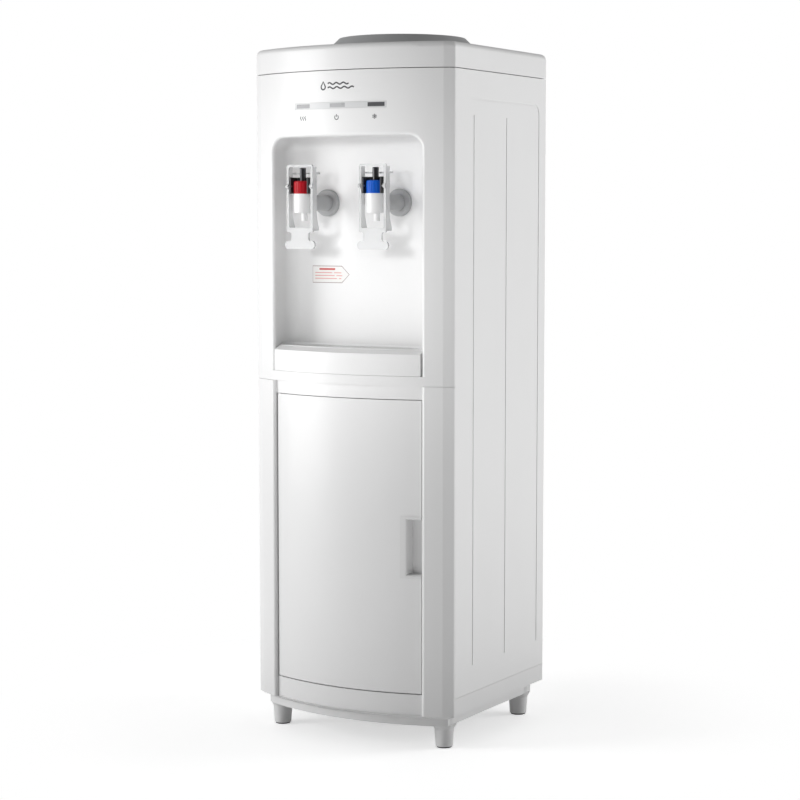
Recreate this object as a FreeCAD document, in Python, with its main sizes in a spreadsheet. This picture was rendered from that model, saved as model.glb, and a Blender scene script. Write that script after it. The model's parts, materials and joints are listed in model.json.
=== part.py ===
import FreeCAD, Part
import math
import os
import re
import Sketcher

# Floor-standing bottled-water dispenser with a hot tap, a cold tap, a drip tray and a
# storage cabinet below.  Millimetres.  +Z is up, the front faces -Y, the origin is on the
# floor under the middle of the overall box.

V = FreeCAD.Vector
doc = FreeCAD.newDocument("WaterDispenser")

# ---------------------------------------------------------------- driving dimensions
DIMENSIONS = {
    "body_width": 318, "corner_y": -124.5, "rear_y": 150,
    "front_half": 146, "bow_radius": 349.1, "bow_rise": 32,
    "facet_x": 157.2, "facet_depth": 7.4, "side_depth": 10.8, "corner_radius": 4,
    "sharp_depth": 8.6, "joint_depth": 12,
    "wall": 2.5, "sheet_wall": 1.6, "gap": 0.3, "seam_gap": 0.4,
    "base_z": 48, "panel_z": 72, "seam_z": 497, "cover_z": 920, "cover_top_z": 955,
    "cover_radius": 8, "skirt_inset": 13, "edge_inset": 1.5, "skirt_z": 32, "skirt_top_z": 42,
    "foot_x": 133, "foot_front_y": -96.5, "foot_rear_y": 123.5,
    "foot_radius": 12, "foot_top_radius": 14.8, "foot_root_radius": 17.5, "pad_height": 2,
    "niche_half": 118, "niche_top_z": 832, "niche_depth": 36, "niche_corner": 19,
    "niche_back_corner": 18, "rim_radius": 4, "shelf_z": 510.5,
    "recess_inset": 6, "door_half": 116, "door_z": 78, "door_top_z": 478,
    "frame_hole_z": 76.5, "frame_hole_top_z": 479, "door_back": 8, "jamb_depth": 14,
    "hinge_x": -113, "hinge_depth": -3.6, "hinge_radius": 2,
    "handle_x": 88, "handle_z": 236, "handle_top_z": 321, "handle_rim": 9.4,
    "liner_half": 112.5, "liner_z": 82, "liner_top_z": 472, "liner_rear_y": 140,
    "tray_half": 117.2, "tray_z": 510.8, "tray_top_z": 549, "tray_back": 33,
    "tray_slope": 20, "tray_slope_depth": 9, "tray_step_z": 531, "tray_corner": 19, "grille_z": 543,
    "grille_height": 3,
    "strip_half": 73, "strip_z": 868.5, "strip_height": 9, "strip_depth": 1.4,
    "lens_pitch": 58, "lens_length": 24, "lens_height": 5.5, "lens_z": 870.3,
    "tap_x": 58, "tap_depth": -28, "tap_z": 743, "tap_radius": 12.3,
    "tap_base_z": 729, "tap_top_z": 755, "collar_radius": 12.5, "collar_top_z": 772.5,
    "nozzle_z": 718, "nozzle_radius": 4.2, "shank_radius": 11, "flange_radius": 18.7,
    "tail_radius": 8, "tail_end": 52, "drop_depth": 59.5,
    "pivot_depth": -36, "pivot_z": 765, "pin_radius": 1.5,
    "lever_half": 21, "lever_bar": 3.4, "lever_top_z": 794, "lever_plate": 3.5,
    "window_z": 709, "shoulder_z": 703, "neck_half": 14,
    "pad_top_z": 691, "pad_z": 680, "pad_half": 25,
    "bar_z": 781.5, "arm_end": 12,
    "stem_radius": 4.3, "rod_radius": 2.5, "stem_top_z": 790,
    "seat_z": 733, "seal_radius": 7, "seal_top_z": 741,
    "ring_radius": 105, "ring_top_radius": 88, "ring_top_z": 973, "socket_radius": 29.5,
    "axis_depth": 140, "tank_radius": 72, "tank_z": 690, "tank_top_z": 848,
    "foam_radius": 92, "foam_z": 672, "cooler_z": 770,
    "boiler_x": -75, "boiler_depth": 190, "boiler_radius": 45, "boiler_z": 520,
    "boiler_top_z": 620, "jacket_radius": 58, "deck_z": 500, "deck_height": 3,
    "drain_z": 535, "drain_radius": 6, "drain_end_y": 165,
    "switch_x": 95, "switch_z": 620, "switch_pitch": 22, "rocker_half": 6.2,
    "rocker_tall": 9.2, "gland_x": 110, "gland_z": 120, "gland_bore": 3.6,
}
sheet = doc.addObject("Spreadsheet::Sheet", "Dims")
for row, (alias, value) in enumerate(DIMENSIONS.items(), start=1):
    sheet.set("A%d" % row, alias)
    sheet.set("B%d" % row, str(value))
    sheet.setAlias("B%d" % row, alias)
doc.recompute()

ALIAS = re.compile(r"\b(" + "|".join(DIMENSIONS) + r")\b")


def linked(expression):
    """The expression with every alias pointing at the sheet."""
    return ALIAS.sub(r"Dims.\1", str(expression))


def number(expression):
    return float(sheet.evalExpression(linked(expression)))


def bind(item, prop, expression):
    item.setExpression(prop, linked(expression))


def place(item, at):
    for axis, expression in zip("xyz", at):
        bind(item, ".Placement.Base." + axis, expression)


def depth(offset):
    """A Y position, measured back from the plane of the front corners."""
    return "corner_y + %s" % offset


# ---------------------------------------------------------------- building blocks
TURNED = {
    "Z": FreeCAD.Rotation(),
    "X": FreeCAD.Rotation(V(0, 1, 0), 90),
    "Y": FreeCAD.Rotation(V(1, 0, 0), -90),
}


def box(name, low, high):
    """A box between two corners, each a triple of expressions."""
    item = doc.addObject("Part::Box", name)
    for prop, a, b in zip(("Length", "Width", "Height"), low, high):
        bind(item, prop, "(%s) - (%s)" % (b, a))
    place(item, low)
    return item


def cylinder(name, radius, length, at, axis="Z"):
    item = doc.addObject("Part::Cylinder", name)
    item.Placement.Rotation = TURNED[axis]
    bind(item, "Radius", radius)
    bind(item, "Height", length)
    place(item, at)
    return item


def cone(name, radius, top_radius, length, at):
    item = doc.addObject("Part::Cone", name)
    bind(item, "Radius1", radius)
    bind(item, "Radius2", top_radius)
    bind(item, "Height", length)
    place(item, at)
    return item


def fuse(name, *shapes):
    item = doc.addObject("Part::MultiFuse", name)
    item.Shapes = list(shapes)
    return item


def common(name, first, second):
    item = doc.addObject("Part::Common", name)
    item.Base = first
    item.Tool = second
    return item


def cut(name, base, *tools):
    item = doc.addObject("Part::Cut", name)
    item.Base = base
    item.Tool = tools[0] if len(tools) == 1 else fuse(name + "_tools", *tools)
    return item


def group(name, *shapes):
    """Separate solids that share one node."""
    item = doc.addObject("Part::Compound", name)
    item.Links = list(shapes)
    return item


def tube(name, outer, bore, length, at, axis="Z"):
    blank = cylinder(name + "_outside", outer, length, at, axis)
    hole = cylinder(name + "_bore", bore, length, at, axis)
    return cut(name, blank, hole)


def edges_of(item, wanted):
    """The numbers of the edges that a test picks out."""
    doc.recompute()
    return [i + 1 for i, edge in enumerate(item.Shape.Edges) if wanted(edge)]


def rounded(name, base, radius, wanted, kind="Part::Fillet", second=None):
    """A fillet, or a chamfer, of the edges that a test picks out."""
    item = doc.addObject(kind, name)
    item.Base = base
    picked = edges_of(base, wanted)
    item.Edges = [(i, number(radius), number(second or radius)) for i in picked]
    return item


# ---------------------------------------------------------------- sketches and bodies
def new_body(name, at=("0", "0", "0")):
    body = doc.addObject("PartDesign::Body", name)
    place(body, at)
    return body


def new_sketch(body, name, plane="XY_Plane"):
    sketch = body.newObject("Sketcher::SketchObject", name)
    origin_plane = [f for f in body.Origin.OriginFeatures if f.Role == plane][0]
    sketch.AttachmentSupport = [(origin_plane, "")]
    sketch.MapMode = "FlatFace"
    return sketch


def fix_point(sketch, geometry, end, x, y):
    """Ties one end of a line or arc to its two expressions."""
    for kind, expression, axis in (("DistanceX", x, -2), ("DistanceY", y, -1)):
        value = number(expression)
        if abs(value) < 1e-9:
            sketch.addConstraint(Sketcher.Constraint("PointOnObject", geometry, end, axis))
            continue
        index = sketch.addConstraint(Sketcher.Constraint(kind, -1, 1, geometry, end, value))
        name = "%s_%d" % (kind, index)
        sketch.renameConstraint(index, name)
        bind(sketch, "Constraints." + name, expression)


def arc_between(start, end, radius, turn):
    """The short arc from start to end; turn is +1 for a left-hand curve, -1 for right."""
    chord = end - start
    rise = math.sqrt(max(radius * radius - chord.Length ** 2 / 4, 0))
    side = V(-chord.y, chord.x, 0).normalize() * turn
    centre = start + chord * 0.5 + side * rise
    first, last = (start, end) if turn > 0 else (end, start)
    angles = [math.atan2(p.y - centre.y, p.x - centre.x) for p in (first, last)]
    if angles[1] < angles[0]:
        angles[1] += 2 * math.pi
    return Part.ArcOfCircle(Part.Circle(centre, V(0, 0, 1), radius), *angles)


def draw(sketch, corners, arcs=None):
    """A closed outline through corners; arcs maps a side's number to (radius, turn)."""
    arcs = arcs or {}
    points = [V(number(x), number(y), 0) for x, y in corners]
    first = sketch.GeometryCount
    ends = []
    for i, start in enumerate(points):
        end = points[(i + 1) % len(points)]
        if i in arcs:
            radius, turn = arcs[i]
            shape = arc_between(start, end, number(radius), turn)
            ends.append((1, 2) if turn > 0 else (2, 1))
        else:
            shape = Part.LineSegment(start, end)
            ends.append((1, 2))
        sketch.addGeometry(shape, False)
    for i, (x, y) in enumerate(corners):
        before = (i - 1) % len(corners)
        joint = Sketcher.Constraint("Coincident", first + before, ends[before][1], first + i, ends[i][0])
        sketch.addConstraint(joint)
        fix_point(sketch, first + i, ends[i][0], x, y)
    for i, (radius, turn) in arcs.items():
        index = sketch.addConstraint(Sketcher.Constraint("Radius", first + i, number(radius)))
        sketch.renameConstraint(index, "radius_%d" % index)
        bind(sketch, "Constraints.radius_%d" % index, radius)


def pad(body, sketch, length, reverse=False):
    feature = body.newObject("PartDesign::Pad", sketch.Name + "_pad")
    feature.Profile = sketch
    feature.Reversed = reverse
    bind(feature, "Length", length)
    return feature


def pocket(body, sketch, length, reverse=False):
    feature = body.newObject("PartDesign::Pocket", sketch.Name + "_pocket")
    feature.Profile = sketch
    feature.Reversed = reverse
    bind(feature, "Length", length)
    return feature


def turned(name, profile, at=("0", "0", "0"), arcs=None):
    """A part turned about the vertical; profile is (radius, height) pairs."""
    body = new_body(name, at)
    sketch = new_sketch(body, name + "_profile", "XZ_Plane")
    draw(sketch, profile, arcs)
    feature = body.newObject("PartDesign::Revolution", name + "_turned")
    feature.Profile = sketch
    feature.ReferenceAxis = (sketch, ["V_Axis"])
    feature.Angle = 360
    return body


# ---------------------------------------------------------------- the bowed plan shape
def plan_corners(inset, soft):
    """Right-hand corners of the plan, front to rear, moved inwards by inset."""
    corners = [("front_half - 0.487 * (%s)" % inset, depth("0.876 * (%s)" % inset))]
    if soft:
        corners.append(("facet_x - 0.552 * (%s)" % inset, depth("facet_depth + 0.834 * (%s)" % inset)))
        corners.append(("body_width / 2 - (%s)" % inset, depth("side_depth")))
    else:
        corners.append(("body_width / 2 - (%s)" % inset, depth("sharp_depth + 0.537 * (%s)" % inset)))
    corners.append(("body_width / 2 - (%s)" % inset, "rear_y - (%s)" % inset))
    return corners


def plan(sketch, inset):
    """The cabinet's plan: bowed front, a facet at each front corner, square rear."""
    soft = number(inset) < number("corner_radius")
    right = plan_corners(inset, soft)
    left = [("-(%s)" % x, y) for x, y in reversed(right)]
    arcs = {len(right) * 2 - 1: ("bow_radius - (%s)" % inset, 1)}
    if soft:
        arcs[1] = ("corner_radius - (%s)" % inset, 1)
        arcs[5] = ("corner_radius - (%s)" % inset, 1)
    draw(sketch, right + left, arcs)


def prism(name, inset, low, high):
    """The plan shape, moved inwards by inset, between two heights."""
    body = new_body(name, ("0", "0", low))
    sketch = new_sketch(body, name + "_plan")
    plan(sketch, inset)
    pad(body, sketch, "(%s) - (%s)" % (high, low))
    return body


def skin(name, outer, inner, low, high, region):
    """The layer of the plan shape between two insets, inside a box (x, y, z ranges)."""
    layer = cut(name + "_layer", prism(name + "_outer", outer, low, high),
                prism(name + "_inner", inner, "(%s) - 1" % low, "(%s) + 1" % high))
    (x0, x1), (y0, y1), (z0, z1) = region
    return common(name, layer, box(name + "_region", (x0, y0, z0), (x1, y1, z1)))


FRONT = depth("(-60)")
ACROSS = ("-body_width", "body_width")
FRONT_STRIP = (FRONT, depth("joint_depth"))
nodes = []


def node(item, name):
    """Names a finished sub-part."""
    item.Label = name
    nodes.append(item)
    return item


# ---------------------------------------------------------------- base and feet
def lofted_underside():
    """The flare from the skirt out to the cabinet's bottom edge."""
    low = new_body("flare_low_plan", ("0", "0", "skirt_top_z"))
    low_sketch = new_sketch(low, "flare_low")
    plan(low_sketch, "skirt_inset")
    high = new_body("flare_high_plan", ("0", "0", "base_z"))
    high_sketch = new_sketch(high, "flare_high")
    plan(high_sketch, "edge_inset")
    doc.recompute()
    lower = low_sketch.Shape.copy()
    lower.translate(V(0, 0, number("skirt_top_z")))
    upper = high_sketch.Shape.copy()
    upper.translate(V(0, 0, number("base_z")))
    item = doc.addObject("Part::Feature", "base_flare")
    item.Shape = Part.makeLoft([Part.Wire(lower.Wires[0]), Part.Wire(upper.Wires[0])], True, True)
    return item


def build_base():
    skirt = prism("base_skirt", "skirt_inset", "skirt_z", "skirt_top_z")
    band = cut("base_band", prism("band_outer", "0", "base_z", "panel_z"),
               prism("band_inner", "wall", "base_z - 1", "panel_z + 1"))
    band_region = box("band_region", ("-body_width", depth("joint_depth + gap"), "base_z"),
                      ("body_width", "rear_y + 1", "panel_z"))
    rim = common("base_rim", band, band_region)
    feet = []
    for x in ("-foot_x", "foot_x"):
        for y in ("foot_front_y", "foot_rear_y"):
            label = "foot_%d" % (len(feet) // 2)
            feet.append(cone(label, "foot_radius", "foot_top_radius", "skirt_top_z - pad_height",
                             (x, y, "pad_height")))
            feet.append(cone(label + "_root", "foot_radius + 1.2", "foot_root_radius", "8",
                             (x, y, "skirt_z - 7")))
    solid = fuse("base_solid", skirt, lofted_underside(), rim, *feet)
    hollow = prism("base_hollow", "skirt_inset + wall", "skirt_z - 10", "base_z - wall")
    keep = []
    for x in ("-foot_x", "foot_x"):
        for y in ("foot_front_y", "foot_rear_y"):
            keep.append(cylinder("foot_core", "foot_root_radius + 1", "40", (x, y, "skirt_z - 12")))
    hollow = cut("base_cavity", hollow, *keep)
    node(cut("base_moulding", solid, hollow), "base")
    pads = []
    for x in ("-foot_x", "foot_x"):
        for y in ("foot_front_y", "foot_rear_y"):
            pads.append(cylinder("foot_pad", "foot_radius - 1.5", "pad_height", (x, y, "0")))
    node(group("foot_pad_set", *pads), "foot_pads")


build_base()


# ---------------------------------------------------------------- lower front frame and door
def vertical_at(x_expression, y_low, y_high):
    """A test for upright edges at a given |x| within a range of Y."""
    x, low, high = number(x_expression), number(y_low), number(y_high)

    def wanted(edge):
        a, b = edge.Vertexes[0].Point, edge.Vertexes[-1].Point
        upright = abs(a.x - b.x) < 0.01 and abs(a.y - b.y) < 0.01 and abs(a.z - b.z) > 1
        return upright and abs(abs(a.x) - x) < 0.05 and low < a.y < high
    return wanted


def build_front_frame():
    top = "seam_z - seam_gap / 2"
    shell = skin("frame_shell", "0", "wall", "base_z", top, (ACROSS, FRONT_STRIP, ("base_z", top)))
    middle = box("frame_middle", ("-niche_half", FRONT, "base_z - 1"),
                 ("niche_half", depth("40"), "seam_z"))
    pillars = cut("frame_pillars", shell, middle)
    outside = prism("frame_limit", "0", "base_z", top)
    pieces = [pillars]
    for side in (-1, 1):
        edge = "%d * (niche_half + wall / 2)" % side
        jamb = box("jamb", ("%s - wall / 2" % edge, FRONT, "base_z"),
                   ("%s + wall / 2" % edge, depth("jamb_depth"), top))
        pieces.append(common("jamb_trimmed", jamb, outside))
    for low, high in (("base_z", "frame_hole_z"), ("frame_hole_top_z", top)):
        span = (("-niche_half", "niche_half"), (FRONT, depth("joint_depth")), (low, high))
        pieces.append(skin("recessed_strip", "recess_inset", "recess_inset + wall", low, high, span))
    recessed = prism("frame_recessed_limit", "recess_inset", "base_z", top)
    for low, high in (("frame_hole_z - wall", "frame_hole_z"),
                      ("frame_hole_top_z", "frame_hole_top_z + wall")):
        lintel = box("lintel", ("-niche_half", FRONT, low), ("niche_half", depth("jamb_depth"), high))
        pieces.append(common("lintel_trimmed", lintel, recessed))
    joined = fuse("frame_joined", *pieces)
    soft = rounded("frame_rounded", joined, "rim_radius", vertical_at("niche_half", FRONT, depth("(-9)")))
    pin_hole = cylinder("frame_pin_hole", "hinge_radius", "420", ("hinge_x", depth("hinge_depth"), "70"))
    node(cut("front_frame", soft, pin_hole), "lower_front_frame")


def build_door():
    low, high = "door_z", "door_top_z"
    solid = common("door_solid", prism("door_outer", "recess_inset", low, high),
                   box("door_region", ("-door_half", FRONT, low), ("door_half", depth("door_back"), high)))
    hollow = common("door_hollow", prism("door_inner", "recess_inset + wall", low, high),
                    box("door_hollow_region", ("-door_half + wall", FRONT, "door_z + wall"),
                        ("door_half - wall", depth("30"), "door_top_z - wall")))
    shell = cut("door_shell", solid, hollow)
    bosses = []
    for z in ("door_z", "door_top_z - 10"):
        boss = box("hinge_boss", ("-door_half", FRONT, z), ("hinge_x + 6", depth("3"), "%s + 10" % z))
        bosses.append(common("hinge_boss_trimmed", boss, solid))
    whole = fuse("door_whole", shell, *bosses)
    opening = box("handle_opening", ("handle_x + 2", FRONT, "handle_z + 2"),
                  ("door_half + 1", depth("6"), "handle_top_z - 2"))
    holes = []
    for z in ("door_z - 1", "door_top_z - 7.3"):
        holes.append(cylinder("door_pin_hole", "hinge_radius + 0.05", "8.3",
                              ("hinge_x", depth("hinge_depth"), z)))
    node(cut("door_skin", whole, opening, *holes), "cabinet_door")

    panel = box("door_back_blank", ("-door_half + wall + 0.2", depth("door_back - 2"),
                                    "door_z + wall + 0.2"),
                ("door_half - wall - 0.2", depth("door_back"), "door_top_z - wall - 0.2"))
    node(panel, "door_liner")

    pins = []
    for z in ("frame_hole_z - 4", "door_top_z - 6"):
        pins.append(cylinder("hinge_pin", "hinge_radius", "12", ("hinge_x", depth("hinge_depth"), z)))
    node(group("hinge_pin_set", *pins), "door_hinge_pins")


def build_handle():
    block = common("handle_block", prism("handle_outer", "recess_inset - 0.8", "handle_z", "handle_top_z"),
                   box("handle_region", ("handle_x + 2.2", FRONT, "handle_z + 2.2"),
                       ("door_half", depth("5.5"), "handle_top_z - 2.2")))
    span = (("handle_x", "door_half"), (FRONT, depth("0")), ("handle_z", "handle_top_z"))
    bezel = skin("handle_bezel", "recess_inset - 0.8", "recess_inset", "handle_z", "handle_top_z", span)
    cavity = box("handle_cavity", ("handle_x + handle_rim", FRONT, "handle_z + handle_rim / 2"),
                 ("door_half + 1", depth("3.5"), "handle_top_z - handle_rim / 2"))
    raw = cut("handle_raw", fuse("handle_whole", block, bezel), cavity)
    edge_x = number("handle_x + handle_rim")
    low_z, high_z = number("handle_z + handle_rim / 2"), number("handle_top_z - handle_rim / 2")

    def mouth(edge):
        middle = edge.CenterOfMass
        front = middle.y < number(depth("(-7)"))
        upright = abs(middle.x - edge_x) < 0.05 and edge.Length > 20
        level = min(abs(middle.z - low_z), abs(middle.z - high_z)) < 0.05 and edge.Length > 10
        return front and (upright or level)
    node(rounded("handle_insert", raw, "1.6", mouth, "Part::Chamfer"), "door_handle")


def build_catch():
    node(box("catch_body", ("62", depth("9"), "door_top_z - 10"),
             ("92", depth("jamb_depth"), "frame_hole_top_z")), "magnet_catch")
    node(box("strike", ("66", depth("door_back"), "door_top_z - 10"),
             ("88", depth("door_back + 0.7"), "door_top_z - 3")), "strike_plate")


def build_liner():
    outer = box("liner_outer", ("-liner_half", depth("jamb_depth"), "liner_z"),
                ("liner_half", "liner_rear_y", "liner_top_z"))
    flange = box("liner_flange", ("-niche_half - wall", depth("jamb_depth"), "frame_hole_z - wall"),
                 ("niche_half + wall", depth("jamb_depth + 2"), "frame_hole_top_z + wall"))
    inner = box("liner_inner", ("-liner_half + 2", depth("0"), "liner_z + 2"),
                ("liner_half - 2", "liner_rear_y - 2", "liner_top_z - 2"))
    node(cut("liner_box", fuse("liner_whole", outer, flange), inner), "cabinet_liner")


build_front_frame()
build_door()
build_handle()
build_catch()
build_liner()


# ---------------------------------------------------------------- upper front with the niche
def niche_block(name, margin, back, low):
    """The niche's space: round top corners, round back corners, open at the front."""
    body = new_body(name, ("0", FRONT, "0"))
    sketch = new_sketch(body, name + "_front", "XZ_Plane")
    half = "niche_half + %s" % margin
    top = "niche_top_z + %s" % margin
    corner = "niche_corner + %s" % margin
    outline = [("-(%s)" % half, low), (half, low), (half, "%s - (%s)" % (top, corner)),
               ("%s - (%s)" % (half, corner), top), ("-(%s - (%s))" % (half, corner), top),
               ("-(%s)" % half, "%s - (%s)" % (top, corner))]
    draw(sketch, outline, {2: (corner, 1), 4: (corner, 1)})
    block = pad(body, sketch, "60 + %s" % back, reverse=True)
    doc.recompute()
    rear = block.Shape.BoundBox.YMax
    picked = []
    for i, edge in enumerate(block.Shape.Edges):
        span = edge.BoundBox
        if abs(span.YMin - rear) < 0.01 and span.ZMax > number(low) + 1:
            picked.append("Edge%d" % (i + 1))
    fillet = body.newObject("PartDesign::Fillet", name + "_back")
    fillet.Base = (block, picked)
    bind(fillet, "Radius", "niche_back_corner + %s" % margin)
    return body


def build_fascia():
    low, high = "seam_z + seam_gap / 2", "cover_z - 0.5"
    shell = skin("fascia_shell", "0", "wall", low, high, (ACROSS, FRONT_STRIP, (low, high)))
    outside = prism("fascia_limit", "0", low, high)
    tub_outer = common("tub_outer", niche_block("tub_block", "wall", "niche_depth + wall",
                                                "shelf_z - wall"),
                       outside)
    space = niche_block("niche_space", "0", "niche_depth", "shelf_z")
    lip = skin("fascia_lip", "0", "recess_inset + wall", low, "%s + 2" % low,
               (("-niche_half - wall", "niche_half + wall"), FRONT_STRIP, (low, "%s + 2" % low)))
    open_front = cut("fascia_open", fuse("fascia_joined", shell, tub_outer, lip), space)
    tap_holes = [cylinder("tap_hole", "tail_radius + 0.2", "20",
                          ("%d * tap_x" % side, depth("30"), "tap_z"), "Y")
                 for side in (-1, 1)]
    channel = skin("strip_channel", "-1", "strip_depth", "strip_z - 1", "strip_z + strip_height + 1",
                   (("-strip_half", "strip_half"), (FRONT, depth("0")),
                    ("strip_z", "strip_z + strip_height")))
    windows = [box("lamp_window", ("%d * lens_pitch - 10" % k, FRONT, "lens_z + 0.5"),
                   ("%d * lens_pitch + 10" % k, depth("0"), "lens_z + lens_height - 0.5")) for k in (-1, 0,
                                                                                                     1)]
    raw = cut("fascia_raw", open_front, channel, *(tap_holes + windows))
    top = number("niche_top_z")
    half = number("niche_half")

    def rim(edge):
        """The edge where the bowed face turns into the niche, above the tray."""
        points = [v.Point for v in edge.Vertexes]
        on_bow = True
        for p in points:
            radius = math.hypot(p.x, p.y - number("corner_y + bow_radius - bow_rise"))
            on_bow = on_bow and abs(radius - number("bow_radius")) < 0.05
        middle = edge.CenterOfMass
        at_edge = abs(middle.x) > half - 20 or abs(middle.z - top) < 1
        inside = max(abs(p.x) for p in points) < half + 0.1
        return on_bow and at_edge and inside and max(p.z for p in points) > 540 and middle.z < top + 1
    node(rounded("fascia_rounded", raw, "rim_radius", rim), "upper_fascia")


def build_indicator():
    span = (("-strip_half + 0.2", "strip_half - 0.2"), (FRONT, depth("0")),
            ("strip_z + 0.2", "strip_z + strip_height - 0.2"))
    bar = skin("strip_bar", "0.2", "strip_depth", "strip_z", "strip_z + strip_height", span)
    slots, lenses = [], []
    for k in (-1, 0, 1):
        x0 = "%d * lens_pitch - lens_length / 2" % k
        x1 = "%d * lens_pitch + lens_length / 2" % k
        slots.append(box("lens_slot", (x0, FRONT, "lens_z"), (x1, depth("0"), "lens_z + lens_height")))
        lenses.append(skin("lens", "0.1", "strip_depth", "lens_z", "lens_z + lens_height",
                           ((x0, x1), (FRONT, depth("0")), ("lens_z", "lens_z + lens_height"))))
    node(cut("strip_window", bar, *slots), "indicator_window")
    node(group("lens_set", *lenses), "indicator_lenses")
    board = box("lamp_board", ("-72", depth("(-20)"), "strip_z - 6"),
                ("72", depth("(-18.4)"), "strip_z + 14"))
    lamps = [box("lamp", ("%d * lens_pitch - 2" % k, depth("(-22.5)"), "lens_z"),
                 ("%d * lens_pitch + 2" % k, depth("(-20)"), "lens_z + 4")) for k in (-1, 0, 1)]
    node(fuse("lamp_board_set", board, *lamps), "indicator_board")


build_fascia()
build_indicator()


# ---------------------------------------------------------------- drip tray and grille
def build_tray():
    def rear_corner(edge):
        a, b = edge.Vertexes[0].Point, edge.Vertexes[-1].Point
        return abs(a.z - b.z) > 1 and abs(a.x - b.x) < 0.01 and a.y > number(depth("20"))
    region = box("tray_region_blank", ("-tray_half", FRONT, "tray_z"),
                 ("tray_half", depth("tray_back"), "tray_top_z"))
    region = rounded("tray_region", region, "tray_corner", rear_corner)
    block = common("tray_block", prism("tray_outer", "0.3", "tray_z", "tray_top_z"), region)
    top = number("tray_top_z")

    def lip(edge):
        on_top = all(abs(v.Point.z - top) < 0.01 for v in edge.Vertexes)
        return on_top and edge.Length > 200 and edge.CenterOfMass.y < number(depth("0"))
    slope = rounded("tray_sloped", block, "tray_slope_depth", lip, "Part::Chamfer", "tray_slope")
    spaces = []
    for tag, inset, low, high in (("lower", "3", "tray_z + wall", "tray_step_z"),
                                  ("upper", "12", "tray_step_z", "tray_top_z + 1")):
        inside = box("tray_%s_blank" % tag, ("-tray_half + wall", FRONT, low),
                     ("tray_half - wall", depth("tray_back - wall"), high))
        inside = rounded("tray_%s_region" % tag, inside, "tray_corner - wall", rear_corner)
        spaces.append(common("tray_%s_space" % tag, prism("tray_%s_plan" % tag, inset, low, high), inside))
    tub = cut("tray_tub", slope, *spaces)
    ledges = [box("tray_ledge", ("%s * (tray_half - wall) - 3 * %s" % (side, inward), depth("0"), "538"),
                  ("%s * (tray_half - wall) + 3 * %s" % (side, outward), depth("12"), "grille_z - gap"))
              for side, inward, outward in (("(-1)", "0", "1"), ("1", "1", "0"))]
    node(fuse("tray_whole", tub, *ledges), "drip_tray")


def build_grille():
    """A flat plate with a row of slots cut front to back."""
    body = new_body("grille_plate", ("0", "0", "grille_z"))
    sketch = new_sketch(body, "grille_outline")
    half = "tray_half - wall - 0.6"
    bow = "bow_radius - 12.6"
    sagitta = number("(%s) - sqrt((%s)^2 - (%s)^2)" % (bow, bow, half))
    front = depth("(12.6 - bow_rise + %f)" % sagitta)
    back = depth("tray_back - wall - 0.6")
    corner = "tray_corner - wall - 0.6"
    draw(sketch, [("-(%s)" % half, front), (half, front), (half, "%s - (%s)" % (back, corner)),
                  ("%s - (%s)" % (half, corner), back), ("-(%s) + %s" % (half, corner), back),
                  ("-(%s)" % half, "%s - (%s)" % (back, corner))],
         {0: (bow, 1), 2: (corner, 1), 4: (corner, 1)})
    pad(body, sketch, "grille_height")
    slot = new_sketch(body, "grille_slot")
    draw(slot, [("-98", depth("(-2)")), ("-94.4", depth("(-2)")), ("-94.4", depth("24")),
                ("-98", depth("24"))])
    first = pocket(body, slot, "grille_height + 1", reverse=True)
    doc.recompute()
    row = body.newObject("PartDesign::LinearPattern", "grille_slots")
    row.Originals = [first]
    row.Direction = (slot, ["H_Axis"])
    row.Length = 192.4
    row.Occurrences = 27
    body.Tip = row
    node(body, "drip_grille")


build_tray()
build_grille()


# ---------------------------------------------------------------- top cover, collar, bottle seat
def build_cover():
    low = "cover_z + 0.5"
    block = prism("cover_block", "0", low, "cover_top_z")
    top = number("cover_top_z")

    def crown(edge):
        return all(abs(v.Point.z - top) < 0.01 for v in edge.Vertexes)
    domed = rounded("cover_domed", block, "cover_radius", crown)
    hollow = prism("cover_hollow", "wall", "cover_z", "cover_top_z - cover_radius")
    bore = cylinder("cover_bore", "97", "60", ("0", depth("axis_depth"), "cover_z"))
    upper = cylinder("cover_hollow_top", "120", "cover_radius - wall",
                     ("0", depth("axis_depth"), "cover_top_z - cover_radius"))
    node(cut("cover_shell", domed, hollow, upper, bore), "top_cover")


def build_collar():
    at = ("0", depth("axis_depth"), "0")
    profile = [("ring_radius", "cover_top_z"), ("ring_radius", "cover_top_z + 3"),
               ("91.5", "ring_top_z - 2"),
               ("89.5", "ring_top_z"), ("87", "ring_top_z"), ("85.8", "ring_top_z - 1.2"), ("85.8", "944"),
               ("79", "944"), ("79", "941.5"), ("88.3", "941.5"), ("88.3", "ring_top_z - 5"),
               ("102", "cover_top_z + 1.5"), ("102", "cover_top_z")]
    node(turned("collar_ring", profile, at), "bottle_collar")


def build_seat():
    at = ("0", depth("axis_depth"), "0")
    profile = [("85.3", "944.3"), ("85.3", "947"), ("79", "947"), ("32", "917"), ("socket_radius", "914"),
               ("socket_radius", "889"), ("8", "889"), ("6.5", "888"), ("4", "888"), ("4", "836"),
               ("8", "836"),
               ("8", "886.5"), ("32", "886.5"), ("32", "913"), ("78.2", "941.8"), ("78.2", "944.3")]
    node(turned("seat_funnel", profile, at), "bottle_seat")


build_cover()
build_collar()
build_seat()


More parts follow.
